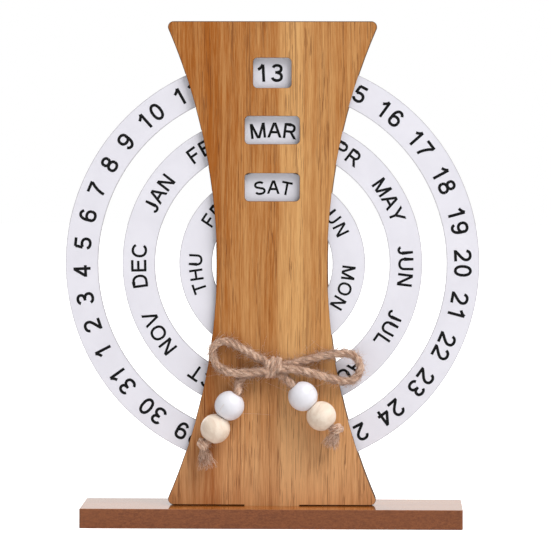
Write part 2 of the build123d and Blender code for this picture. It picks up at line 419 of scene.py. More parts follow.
def ring_finish():
    """Smooth off-white board, satin, a little darker and duller where it was cut."""
    made, tree, shader = material("ring board")
    place = coordinates(tree)
    facing = maths(tree, "ABSOLUTE", normal_part(tree, "Y"))
    cut = ramp(tree, facing, 0.55, 0.95, 1.0, 0.0)
    cloud = noise(tree, place, (60, 60, 60))
    face = mix(tree, ramp(tree, cloud, 0.3, 0.7), (0.790, 0.775, 0.840), (0.825, 0.810, 0.875))
    near_rim = ramp(tree, rim_distance(tree, place), 0.15 * MM, 0.60 * MM, 0.55, 0.0)
    rim = mix(tree, near_rim, face, (0.36, 0.35, 0.36))
    colour = mix(tree, cut, rim, (0.34, 0.33, 0.34))
    peel = noise(tree, place, 900.0)
    feed(tree, shader, Base_Color=colour, Roughness=ramp(tree, cloud, 0.3, 0.7, 0.34, 0.42),
         Specular_IOR_Level=0.4, Normal=bump(tree, peel, 0.00005, 0.25))
    return made


FRONT_LEAF = [(-52, 0.22), (-36, 0.26), (-31, 0.06), (-26, 0.40), (-16, 0.46), (-8, 0.42),
              (-3, 0.24), (2, 0.26), (5, 0.80), (13, 0.88), (17, 0.58), (28, 0.56), (40, 0.66),
              (52, 0.56)]
BACK_LEAF = [(-52, 0.50), (-30, 0.62), (-14, 0.70), (-9, 0.35), (4, 0.44), (20, 0.30),
             (52, 0.36)]
FINISHES = {
    "front_panel": panel_finish("front veneer", (0.013, 0.0, 0.27), FRONT_LEAF),
    "back_panel": panel_finish("back veneer", (0.41, 0.0, 0.93), BACK_LEAF),
    "base_board": base_finish(),
}
SPACER = spacer_finish()
RING = ring_finish()
for node_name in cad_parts:
    if node_name.endswith("_spacer"):
        FINISHES[node_name] = SPACER
    if node_name.endswith("_ring"):
        FINISHES[node_name] = RING
for node_name, finish in FINISHES.items():
    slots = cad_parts[node_name].data.materials
    slots.clear()
    slots.append(finish)
print("finished CAD nodes:", ", ".join(sorted(FINISHES)))

# %% [markdown]
# ## Meshes from arrays
#
# Everything round below is a tube, a lathe shape or a flat print, and all of them are
# grids of points worked out at once with numpy. Three helpers turn them into pieces: one
# sweeps a ring of points along many lines at a time, which makes a ply of twine, a hair or
# a fibre alike, one joins several shapes, and one makes the object.


# %% Mesh helpers
def unit(vectors):
    return vectors / np.maximum(np.linalg.norm(vectors, axis=-1, keepdims=True), 1e-12)


def distance_along(lines):
    """How far along its line each point is: the sum of the steps before it."""
    step = np.linalg.norm(np.diff(lines, axis=-2), axis=-1)
    return np.cumsum(np.concatenate([np.zeros_like(step[..., :1]), step], axis=-1), axis=-1)


def side_vectors(lines, reference):
    """Each line's direction at each point, and two vectors across it: one in the plane of
    the line and the reference direction, and the cross product of the line and that one."""
    tangent = unit(np.gradient(lines, axis=-2))
    reference = np.broadcast_to(np.asarray(reference, float), tangent.shape)
    first = unit(reference - (reference * tangent).sum(-1, keepdims=True) * tangent)
    return tangent, first, np.cross(tangent, first)


def tubes(lines, radius, sides, reference):
    """Closed tubes about N lines of M points. Each cross-section is a ring of points at the
    centre + radius (cos a first + sin a second), and flat caps close the two ends. Each point
    also gets a mark, (way along the line, radius cos a, radius sin a), for fibre patterns."""
    count, length = lines.shape[:2]
    angle = np.linspace(0, 2 * np.pi, sides, endpoint=False)
    cos, sin = np.cos(angle), np.sin(angle)
    _, first, second = side_vectors(lines, reference)
    radius = np.broadcast_to(radius, (count, length, sides))
    around = first[:, :, None] * cos[:, None] + second[:, :, None] * sin[:, None]
    points = (lines[:, :, None] + radius[..., None] * around).reshape(-1, 3)
    index = np.arange(count * length * sides).reshape(count, length, sides)
    turned = np.roll(index, -1, axis=2)
    quads = np.stack([index[:, :-1], turned[:, :-1], turned[:, 1:], index[:, 1:]], axis=-1)
    caps = np.concatenate([index[:, 0, ::-1], index[:, -1]])
    along = distance_along(lines) + np.arange(count)[:, None]
    marks = np.broadcast_arrays(along[..., None], radius * cos, radius * sin)
    faces = quads.reshape(-1, 4).tolist() + caps.tolist()
    return points, faces, np.stack(marks, axis=-1).reshape(-1, 3)


def join(parts):
    """Several (points, faces, marks) as one. The marks may be left out."""
    start, faces = 0, []
    for part in parts:
        faces += [[i + start for i in face] for face in part[1]]
        start += len(part[0])
    joined = [np.concatenate([part[0] for part in parts]), faces]
    if len(parts[0]) == 3:
        joined.append(np.concatenate([part[2] for part in parts]))
    return joined


def make_piece(name, shape, finish, body=UPRIGHT, smooth=True):
    """A mesh object at the origin that rides on a body. Marks become an attribute."""
    points, faces, *marks = shape
    mesh = bpy.data.meshes.new(name)
    mesh.from_pydata(np.asarray(points).tolist(), [], faces)
    for mark in marks:
        attribute = mesh.attributes.new("mark", "FLOAT_VECTOR", "POINT")
        attribute.data.foreach_set("vector", mark.astype(np.float32).ravel())
    mesh.polygons.foreach_set("use_smooth", [smooth] * len(mesh.polygons))
    mesh.materials.append(finish)
    mesh.update()
    piece = show(name, mesh)
    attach(piece, body)
    print(f"{name}: {len(mesh.polygons)} faces")
    return piece


_, box_faces, _ = tubes(np.array([[(0, 0, 0), (0, 0, 1.0)]]), 1.0, 4, (1, 0, 0))
print("a tube with four sides and one step is a box of", len(box_faces), "faces")

# %% [markdown]
# ## The twine's routes
#
# The bow is one length of twine, about 30 cm, and its loops and tails are limp but hold
# their shape because the knot pinches them. A real route is smooth, so each one is a
# spline through a few control points, given from the middle of the bow: to
# the right, out from the panel, and up. They are the CAD source's points, but the left loop
# is drawn in by up to 1.6 mm, and each tail has one more, inside the first bead, which keeps
# it straight through the holes.

# %% Twine routes
TWINE_RADIUS = 2.0 * MM
PANEL_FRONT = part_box("front_panel")[0].y
BOW_X, BOW_Z = 0.7, 80.9
BEAD_RADIUS, BEAD_LENGTH, BEAD_TO_PANEL = 7.5, 13.5, 0.25
# How far the twine's middle is from the panel in mm, alone and over another strand.
LYING, CROSSING = 2.3, 6.6
# From the first bead's edge to the stopper knot in mm, and how far the knot sits aside.
BEADS_TO_KNOT, KNOT_ASIDE = 30.7, 1.2

LEFT_LOOP = [
    (-2.4, 4.8, 2.4),
    (-8.0, 4.6, 5.0),
    (-16.0, LYING + 0.5, 9.6),
    (-24.4, LYING, 14.0),
    (-31.0, LYING + 0.3, 10.6),
    (-30.4, LYING + 0.4, 2.6),
    (-24.6, LYING + 2.1, -2.4),
    (-16.4, CROSSING + 0.5, -3.0),
    (-8.6, CROSSING + 0.9, -2.2),
    (-2.4, 7.5, -1.2),
]
RIGHT_LOOP = [
    (2.4, 2.8, 0.8),
    (8.0, LYING + 0.2, 1.2),
    (16.0, LYING, 3.4),
    (25.0, LYING + 0.2, 5.9),
    (33.8, LYING + 0.8, 7.2),
    (41.2, LYING + 1.6, 7.0),
    (45.2, LYING + 2.2, 0.0),
    (41.0, LYING + 2.0, -7.0),
    (33.0, LYING + 1.6, -6.7),
    (24.5, LYING + 2.0, -4.1),
    (16.0, LYING + 3.2, -1.7),
    (8.6, CROSSING + 0.4, -0.3),
    (2.4, 7.4, -0.6),
]


def at_bow(dx, out, dz):
    """A point given in mm from the bow's middle: right, out from the panel, and up."""
    return Vector(((BOW_X + dx) * MM, PANEL_FRONT - out * MM, (BOW_Z + dz) * MM))


def spline_line(name, points, samples_per_run=24):
    """The smooth line of a NURBS spline with these control points, as an array."""
    curve = bpy.data.curves.new(name, "CURVE")
    curve.dimensions = "3D"
    spline = curve.splines.new("NURBS")
    spline.points.add(len(points) - 1)
    for control, point in zip(spline.points, points):
        control.co = (*point, 1)
    spline.order_u = 3
    spline.use_endpoint_u = True
    spline.resolution_u = samples_per_run
    holder = bpy.data.objects.new(name, curve)
    mesh = bpy.data.meshes.new_from_object(holder)
    line = np.array([v.co for v in mesh.vertices], float)
    bpy.data.objects.remove(holder)
    bpy.data.meshes.remove(mesh)
    return line


def line_length(line):
    return float(np.linalg.norm(np.diff(line, axis=0), axis=1).sum())


def even(line, step):
    """The same line with points a step apart."""
    along = distance_along(line)
    at = np.linspace(0, along[-1], max(2, round(along[-1] / step) + 1))
    return np.stack([np.interp(at, along, line[:, k]) for k in range(3)], axis=1)


class Tail:
    """One end of the twine, from the bow through two beads to its stopper knot."""

    def __init__(self, approach, bead_entry, heading_deg, side, fray_heading_deg, fray_length):
        heading = math.radians(heading_deg)
        self.along = Vector((math.cos(heading), 0, math.sin(heading)))
        across = Vector((0, side, 0)).cross(self.along)
        entry = at_bow(bead_entry[0], BEAD_RADIUS + BEAD_TO_PANEL, bead_entry[1])
        end = entry + self.along * BEADS_TO_KNOT * MM
        self.knot = end + across * KNOT_ASIDE * MM
        corner = entry - self.along * TWINE_RADIUS
        last = at_bow(*approach[-1])
        straight = corner + self.along * (corner - last).length
        self.points = [*[at_bow(*p) for p in approach], corner, straight, end]
        fray = math.radians(fray_heading_deg)
        self.fray_along = Vector((math.cos(fray), 0, math.sin(fray)))
        self.fray_length = fray_length * MM


LEFT_TAIL = Tail(
    approach=[(-2.0, 2.7, -2.4), (-8.0, LYING, -2.9), (-14.0, LYING, -4.0), (-17.9, 4.2, -7.6)],
    bead_entry=(-18.4, -13.5),
    heading_deg=-121.5,
    side=1,
    fray_heading_deg=-81.0,
    fray_length=13.5,
)
RIGHT_TAIL = Tail(
    approach=[(1.4, 4.0, -2.0), (5.4, 4.6, -4.4)],
    bead_entry=(10.6, -9.4),
    heading_deg=-47.0,
    side=-1,
    fray_heading_deg=-111.0,
    fray_length=11.0,
)
ROUTES = {
    "loop_left": [at_bow(*p) for p in LEFT_LOOP],
    "loop_right": [at_bow(*p) for p in RIGHT_LOOP],
    "tail_left": LEFT_TAIL.points,
    "tail_right": RIGHT_TAIL.points,
}
LINES = {name: spline_line(name, points) for name, points in ROUTES.items()}
for name, line in LINES.items():
    print(f"{name}: {line_length(line) * 1000:.1f} mm")

# %% [markdown]
# ## Jute twine
#
# Jute twine is three plies laid round each other, and each ply is a bundle of coarse,
# dry fibres. A plain tube with a bump map looks like a hose from the side, so each ply is
# a real tube that follows a helix about the route, and its surface is ridged along the
# fibres. Loose hairs stand out all along, which is what makes twine look dry and soft.


# %% Plied twine
PLIES = 3
PLY_RADIUS_SHARE = 0.54
LAY_LENGTH = 12.5 * MM
STEP = 0.4 * MM
FORWARDS = (0, -1, 0)
# Slow waves in a ply's thickness: how fast each runs along it in radians a metre, and how deep.
SWELLS = ((1500, 0.03), (640, 0.05))
# A hair starts at this share of the twine's radius, thins like this from root to tip, and
# keeps this far from the panel, in mm.
HAIR_ROOT, HAIR_RADIUS, HAIR_TO_PANEL = 0.84, (0.090, 0.038), 0.12


def fibre_ridges(sides, along, rng, count=9, depth=0.06):
    """A ply's radius varied by waves that run almost along it: 1 + a sum of
    depth cos(n angle + k along + phase), each with its own n, k and phase."""
    angle = np.linspace(0, 2 * np.pi, sides, endpoint=False)
    waves = rng.integers(2, 10, count)
    drift = rng.uniform(-900, 900, count)
    phase = rng.uniform(0, 2 * np.pi, count)
    field = np.cos(waves * angle[:, None] + phase + drift * along[:, None, None]).sum(-1)
    swell = sum(np.cos(along * k + start) * deep for start, (k, deep) in zip(phase, SWELLS))
    return 1 + depth * field / math.sqrt(count) + swell[:, None]


def plied(line, twine_radius, seed, reference=FORWARDS, lay=LAY_LENGTH, sides=18):
    """A twine's plies. Each ply's middle is a helix about the line, the centre
    + r (cos a first + sin a second), with a growing along it. The reference is any direction
    that the line never runs in, such as the axis of a coil."""
    rng = np.random.default_rng(seed)
    fine = even(line, STEP)
    along = distance_along(fine)
    _, first, second = side_vectors(fine, reference)
    turn = 2 * np.pi * (along / lay + np.arange(PLIES)[:, None] / PLIES)
    radius = twine_radius * (1 - PLY_RADIUS_SHARE)
    helices = fine + radius * (np.cos(turn)[..., None] * first + np.sin(turn)[..., None] * second)
    ridges = np.stack([fibre_ridges(sides, along, rng) for _ in range(PLIES)])
    return tubes(helices, twine_radius * PLY_RADIUS_SHARE * ridges, sides, reference)


def thin_fibres(lines, radius, clear, sides, reference):
    """Tapered tubes about the lines, pushed forwards where they would enter the panel."""
    lines[..., 1] = np.minimum(lines[..., 1], PANEL_FRONT - clear * MM)
    taper = np.linspace(*radius, lines.shape[1]) * MM
    return tubes(lines, taper[None, :, None], sides, reference)


def hairs(line, twine_radius, seed, per_mm, reach, lift, curl, points=7):
    """Loose fibres: each starts on the twine, leaves it along a slant, and bends. Its points
    are the root + s (slant) + s squared (bend), s going from 0 to the hair's length."""
    rng = np.random.default_rng(seed)
    fine = even(line, STEP)
    count = int(line_length(line) / MM * per_mm)
    pick = rng.integers(1, len(fine) - 1, count)
    tangent, first, second = side_vectors(fine, FORWARDS)
    angle = rng.uniform(0, 2 * np.pi, count)[:, None]
    outward = np.cos(angle) * first[pick] + np.sin(angle) * second[pick]
    way = tangent[pick] * rng.choice([-1.0, 1.0], (count, 1))
    slant = unit(way + outward * rng.uniform(0.3, 1.0, (count, 1)) * lift)
    bend = rng.normal(0, curl, (count, 3))
    length = rng.uniform(*reach, count)[:, None] * MM
    root = fine[pick] + outward * twine_radius * HAIR_ROOT
    s = np.linspace(0, 1, points)[:, None]
    lines = root[:, None] + (slant * length)[:, None] * s + (bend * length)[:, None] * s**2
    return thin_fibres(lines, HAIR_RADIUS, HAIR_TO_PANEL, 3, (0.3, -1, 0.2))


def twine_finish(name, dark, pale):
    """Dry jute: streaks of colour that follow the fibres, by the tubes' marks, pale painted
    highlights along some of them, painted shade in the grooves between them, and no shine from the
    shader.
    """
    made, tree, shader = material(name)
    place = coordinates(tree)
    mark = socket(add(tree, "ShaderNodeAttribute", attribute_name="mark"), "Vector", "outputs")
    blotch = noise(tree, place, (330, 330, 330), detail=3.0)
    strand = noise(tree, mark, (260, 3600, 3600), detail=3.0, roughness=0.65)
    fine = noise(tree, mark, (500, 8500, 8500), roughness=0.65)
    colour = mix(tree, ramp(tree, blotch, 0.32, 0.68), dark, pale)
    # glint: pale painted highlights laid along some fibre streaks
    glint = mix(tree, ramp(tree, strand, 0.48, 0.62, 0.0, 0.9), colour, (0.95, 0.74, 0.59))
    # shade: painted shade, dark brown laid in the grooves between fibres
    shade = mix(tree, ramp(tree, fine, 0.47, 0.34, 0.0, 0.85), glint, (0.20, 0.095, 0.055))
    feed(tree, shader, Base_Color=shade, Roughness=0.85, Specular_IOR_Level=0.15,
         Normal=bump(tree, strand, 0.0004, 0.8), Sheen_Weight=0.35, Sheen_Roughness=0.5)
    return made


JUTE = twine_finish("jute", (0.45, 0.240, 0.150), (0.76, 0.50, 0.355))

# The CAD node that each stretch replaces, its far end, and its random seed.
TWINE_FACTS = {
    "loop_left": ("bow_loop_left", "object", 11),
    "loop_right": ("bow_loop_right", "object", 12),
    "tail_left": ("twine_tail_left", "knot", 13),
    "tail_right": ("twine_tail_right", "knot", 14),
}
for route, (node_name, _, seed) in TWINE_FACTS.items():
    shape = plied(LINES[route], TWINE_RADIUS, seed)
    make_piece("jute_" + route, shape, JUTE)
    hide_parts(node_name)

# Short hairs that lie close, short ones that stand out, and a few long stray ones.
HAIR_KINDS = (
    dict(per_mm=9, reach=(1.5, 4.5), lift=0.5, curl=0.16),
    dict(per_mm=5.5, reach=(1.5, 4.2), lift=1.5, curl=0.35),
    dict(per_mm=0.15, reach=(6.0, 12.0), lift=0.9, curl=0.55),
)
HAIR_PARTS = [
    hairs(LINES[route], TWINE_RADIUS, seed=30 + 5 * kind + place, **looks)
    for place, route in enumerate(TWINE_FACTS)
    for kind, looks in enumerate(HAIR_KINDS)
]
make_piece("jute_hairs", join(HAIR_PARTS), JUTE)

# %% [markdown]
# ## The knot of the bow
#
# The bow is tied round its own middle, so what shows of the knot is about two turns of the
# same twine side by side, going over the four strands and round behind them. It is a spiral
# about the bow's long axis: an oval a little taller than it is deep, moving sideways as it
# turns, with its top leaning to the right. Its own loose fibres stand out like the rest.


# %% Bow knot
KNOT_OUT = 5.1
KNOT_HALF_HEIGHT = 3.95
KNOT_HALF_DEPTH = 2.85
KNOT_TURNS = 2.2
KNOT_START = 0.10
KNOT_SHIFT = 5.9
KNOT_LEAN = 0.8
KNOT_TWINE_RADIUS = 1.75 * MM


def knot_line():
    """A spiral: x runs evenly sideways and leans right at the top, while y and z follow
    an oval."""
    t = np.linspace(0, 1, 90)
    turn = 2 * np.pi * (KNOT_TURNS * t + KNOT_START)
    x = BOW_X + KNOT_SHIFT * (t - 0.5) + KNOT_LEAN * np.cos(turn)
    out = KNOT_OUT + KNOT_HALF_DEPTH * np.sin(turn)
    up = BOW_Z + KNOT_HALF_HEIGHT * np.cos(turn)
    return np.stack([x * MM, PANEL_FRONT - out * MM, up * MM], axis=1)


KNOT_SHAPE = plied(knot_line(), KNOT_TWINE_RADIUS, seed=41, reference=(1, 0, 0))
bow_knot = make_piece("jute_bow_knot", KNOT_SHAPE, JUTE)
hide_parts("bow_knot")
KNOT_HAIRS = hairs(knot_line(), KNOT_TWINE_RADIUS, seed=45, per_mm=9, reach=(1.0, 3.2),
                   lift=0.9, curl=0.35)
make_piece("jute_bow_knot_hairs", KNOT_HAIRS, JUTE)

# %% [markdown]
# ## Stopper knots and frayed ends
#
# Past the beads each tail is knotted, and the twine beyond the knot has come undone into a
# brush of fibres. The knot is a little over one and a half tight turns of twine. Each fibre
# of the brush is its own thin tube: it starts in the knot, spreads in a narrow cone, and
# waves a little, since jute keeps the memory of its twist.


# %% End knots
END_TURNS = 1.7
END_COIL_RADIUS, END_COIL_LENGTH = 1.75, 3.2
END_TWINE_RADIUS = 1.55 * MM
END_LAY_LENGTH = 7 * MM
FRAY_FIBRES = 150
FRAY_SPREAD = 0.30
# In mm: the brush's half width in the knot, a fibre's radius from root to tip, and how far
# it keeps from the panel.
FRAY_ROOT, FRAY_RADIUS, FRAY_TO_PANEL = 1.3, (0.15, 0.06), 0.15
FRONT = np.array(FORWARDS, float)


def end_knot_line(tail):
    """A short coil about the tail's own direction."""
    t = np.linspace(0, 1, 80)
    turn = 2 * np.pi * END_TURNS * t[:, None]
    axis = np.array(tail.along)
    middle = np.array(tail.knot) + axis * ((t - 0.5) * END_COIL_LENGTH * MM)[:, None]
    radius = END_COIL_RADIUS * MM
    side = np.cross(axis, FRONT)
    return middle + radius * np.cos(turn) * side + radius * np.sin(turn) * FRONT


def fray(tail, seed, points=12):
    """Fibres that start in the knot and spread: root + s (way) + waves across up to 1 mm
    high, s going from 0 to the fibre's length."""
    rng = np.random.default_rng(seed)
    axis = np.array(tail.fray_along)
    side = unit(np.cross(axis, -FRONT))
    angle = rng.uniform(0, 2 * np.pi, FRAY_FIBRES)[:, None]
    far = np.sqrt(rng.uniform(0, 1, FRAY_FIBRES))[:, None]
    spoke = np.cos(angle) * side + np.sin(angle) * FRONT
    root = np.array(tail.knot) + spoke * far * FRAY_ROOT * MM
    way = unit(axis + spoke * far * FRAY_SPREAD + rng.normal(0, 0.06, (FRAY_FIBRES, 3)))
    length = tail.fray_length * rng.uniform(0.62, 1.0, FRAY_FIBRES)[:, None]
    s = np.linspace(0, 1, points)[:, None]
    phase = rng.uniform(0, 2 * np.pi, (FRAY_FIBRES, 1, 1))
    speed = rng.uniform(3, 8, (FRAY_FIBRES, 1, 1))
    wave = np.sin(phase + speed * s) * s * MM
    waves = (wave * side, np.roll(wave, 1, axis=0) * FRONT)
    lines = root[:, None] + (way * length)[:, None] * s + waves[0] + waves[1]
    return thin_fibres(lines, FRAY_RADIUS, FRAY_TO_PANEL, 5, (0.2, -1, 0.1))


for tail, side, seed in ((LEFT_TAIL, "left", 51), (RIGHT_TAIL, "right", 61)):
    coil = plied(end_knot_line(tail), END_TWINE_RADIUS, seed, tail.along, END_LAY_LENGTH)
    shape = join([coil, fray(tail, seed + 1)])
    make_piece(f"end_knot_and_fray_{side}", shape, JUTE)
    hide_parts(f"end_knot_{side}")

# %% [markdown]
# ## Turned beads
#
# The beads are turned on a lathe, so each is a profile spun about the hole. The profile is
# a closed loop: down the outside along an arc, across the flat end, round the rim of the
# hole and back up inside it. The painted beads have a satin skin that fills the grain, and
# the bare ones show fine rings and a few darker pores.


# %% Beads
BORE_RADIUS = 2.4
RIM_RADIUS = 0.5
EDGE_EASE_DEG = 1.5
BEAD_SIDES = 72


def arc(centre, radius, start_deg, end_deg, count):
    """Points on a circle about (across, along) from one angle to another."""
    a = np.radians(np.linspace(start_deg, end_deg, count))
    return np.stack([centre[0] + radius * np.cos(a), centre[1] + radius * np.sin(a)], axis=1)


def bead_profile():
    """Half a section as (distance from the axis, place along it), all the way round."""
    half = BEAD_LENGTH / 2
    edge = math.degrees(math.asin(half / BEAD_RADIUS))
    outside = arc((0, 0), BEAD_RADIUS, -edge + EDGE_EASE_DEG, edge - EDGE_EASE_DEG, 40)
    rim_middle = BORE_RADIUS + RIM_RADIUS
    top_rim = arc((rim_middle, half - RIM_RADIUS), RIM_RADIUS, 90, 180, 7)
    bottom_rim = arc((rim_middle, RIM_RADIUS - half), RIM_RADIUS, 180, 270, 7)
    return np.concatenate([outside, top_rim, bottom_rim]) * MM


def lathe(profile, centre, axis):
    """The closed profile spun about an axis: each point goes round a circle."""
    axis = unit(np.asarray(axis, float))
    side = unit(np.cross(axis, (0, 1.0, 0)))
    other = np.cross(axis, side)
    angle = np.linspace(0, 2 * np.pi, BEAD_SIDES, endpoint=False)[:, None, None]
    spoke = np.cos(angle) * side + np.sin(angle) * other
    points = np.asarray(centre) + spoke * profile[:, :1] + axis * profile[:, 1:]
    index = np.arange(points[..., 0].size).reshape(BEAD_SIDES, len(profile))
    across, along = np.roll(index, -1, 0), np.roll(index, -1, 1)
    quads = np.stack([index, across, np.roll(across, -1, 1), along], axis=-1)
    return points.reshape(-1, 3), quads.reshape(-1, 4).tolist()


def white_finish():
    made, tree, shader = material("white bead paint")
    place = coordinates(tree)
    peel = noise(tree, place, 420.0)
    cloud = noise(tree, place, 150.0)
    colour = mix(tree, ramp(tree, cloud, 0.3, 0.7), (0.80, 0.79, 0.84), (0.84, 0.83, 0.88))
    feed(tree, shader, Base_Color=colour, Roughness=0.28, Specular_IOR_Level=0.5,
         Normal=bump(tree, peel, 0.0002, 0.25))
    return made


def bare_finish(name, tilt):
    """Pale wood with rings seen at a slant."""
    made, tree, shader = material(name)
    place = moved(tree, coordinates(tree), rotation=tilt)
    rings = noise(tree, place, (330, 330, 40))
    fibres = noise(tree, place, (2400, 2400, 130))
    colour = mix(tree, ramp(tree, rings, 0.34, 0.66), (0.79, 0.64, 0.51), (0.89, 0.76, 0.63))
    colour = mix(tree, ramp(tree, fibres, 0.58, 0.74, 0.0, 0.35), colour, (0.66, 0.46, 0.31))
    feed(tree, shader, Base_Color=colour, Roughness=0.52, Specular_IOR_Level=0.35,
         Normal=bump(tree, fibres, 0.00015, 0.3))
    return made


def centre_of(node):
    low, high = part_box(node)
    return (low + high) / 2


WHITE = white_finish()
TILTS = {"left": (0.5, 0.4, 0.0), "right": (0.9, -0.5, 0.3)}
BEADS = {"left": [], "right": []}
for side, tilt in TILTS.items():
    white, bare = centre_of(f"white_bead_{side}"), centre_of(f"plain_bead_{side}")
    axis = (bare - white).normalized()
    looks = (("white", white, WHITE), ("plain", bare, bare_finish(f"bare bead wood {side}", tilt)))
    for kind, centre, finish in looks:
        shape = lathe(bead_profile(), centre, axis)
        bead = make_piece(f"{kind}_bead_{side}_turned", shape, finish)
        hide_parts(f"{kind}_bead_{side}")
        BEADS[side].append(bead)

# %% [markdown]
# ## The twine's stretches
#
# Each stretch of twine leaves the knot. The loops go back into the knot, and the tails run
# through two beads each and end in the stopper knots. The cell below only picks out each
# stretch's line and its side, and does nothing more with them.

# %% Cord facts
for route, (_, far_end, _) in TWINE_FACTS.items():
    line = LINES[route]
    side = route.split("_")[1]

# %% [markdown]
# ## Printed letters
#
# The labels are plain black capitals of even weight. Each letter is a few strokes in a cell
# one unit high: bars, slants cut level at both ends, and squarish arcs. The strokes of a
# letter overlap, so a constrained triangulation merges them into one flat shape, which is
# then given a little depth, as a thick coat of ink. Drawing them as strokes keeps every
# letter's weight the same, and the dictionary below stays short enough to read.


# %% Strokes
STROKE = 0.165
SQUARENESS = 2 / 2.2


def curve(cx, cy, rx, ry, start_deg, end_deg):
    """Points on a slightly squarish oval: the cosine and sine keep their sign and are
    raised to a power a little under 1."""
    a = np.radians(np.linspace(start_deg, end_deg, max(4, int(abs(end_deg - start_deg) / 14))))
    c, s = np.cos(a), np.sin(a)
    squarish = [np.sign(v) * np.abs(v) ** SQUARENESS for v in (c, s)]
    return np.array([cx, cy]) + np.stack(squarish, axis=1) * (rx, ry)


def stroke(*parts):
    """One polygon: the line through the parts' points, moved half a stroke to both sides."""
    line = np.concatenate([np.atleast_2d(np.asarray(part, float)) for part in parts])
    way = unit(np.diff(line, axis=0))
    before, after = np.concatenate([way[:1], way]), np.concatenate([way, way[-1:]])
    mean = unit(before + after)
    side = np.stack([-mean[:, 1], mean[:, 0]], axis=1)
    reach = STROKE / 2 / np.maximum((mean * after).sum(1, keepdims=True), 0.7)
    return [np.concatenate([line + side * reach, (line - side * reach)[::-1]])]


def oval(cx, cy, rx, ry):
    return stroke(curve(cx, cy, rx, ry, 0, 180)) + stroke(curve(cx, cy, rx, ry, 180, 360))


def slant(bottom_x, top_x, bottom_y=0.0, top_y=1.0):
    """A leaning bar with level ends."""
    half = STROKE / 2 * math.hypot(1, (top_x - bottom_x) / (top_y - bottom_y))
    return [np.array([(bottom_x - half, bottom_y), (bottom_x + half, bottom_y),
                      (top_x + half, top_y), (top_x - half, top_y)])]


def stem(x, low=0.0, high=1.0):
    return stroke([(x, low), (x, high)])


def bar(y, left, right):
    return stroke([(left, y), (right, y)])


def bowl(x, cx, cy, rx, ry):
    """Level out from a stem at x, half an oval, and level back. The levels are rounded, so
    that strokes which share one meet exactly."""
    top, low = round(cy + ry, 3), round(cy - ry, 3)
    return stroke([(x, top), (cx, top)], curve(cx, cy, rx, ry, 90, -90), (x, low))


def turned(polygons, x, y):
    """The same polygons turned half round about a point."""
    return [(x * 2, y * 2) - polygon for polygon in polygons]


